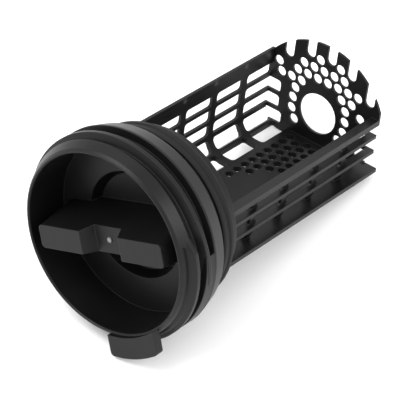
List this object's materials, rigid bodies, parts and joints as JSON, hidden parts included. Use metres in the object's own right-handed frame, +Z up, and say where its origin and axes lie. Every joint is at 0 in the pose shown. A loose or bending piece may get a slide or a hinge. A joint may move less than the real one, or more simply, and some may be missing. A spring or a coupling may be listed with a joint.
{
  "type": "washer drain pump filter",
  "caption": "Screw-in drain pump filter: black cap with a cup and grip bar, rubber seal, and a perforated lint basket that swivels on the cap.",
  "frame": {"origin": "on the screw axis, at the middle of the seal", "axes": "+Y along the screw axis from the cap to the basket's end, +Z up through the basket's open side, +X to the right as seen from the cap"},
  "size_m": [0.0826, 0.1362, 0.0847],
  "materials": {
    "cap": "satin",
    "seal": "matt",
    "basket": "satin"
  },
  "bodies": {
    "cap": {"filter_cap": "cap", "seal_ring": "seal"},
    "basket": {"filter_basket": "basket"}
  },
  "joints": [
    {"name": "basket_swivel", "type": "hinge", "parent": "cap", "child": "basket", "pos_m": [0, 0.00658, 0], "axis": [0, 1, 0], "continuous": true}
  ]
}
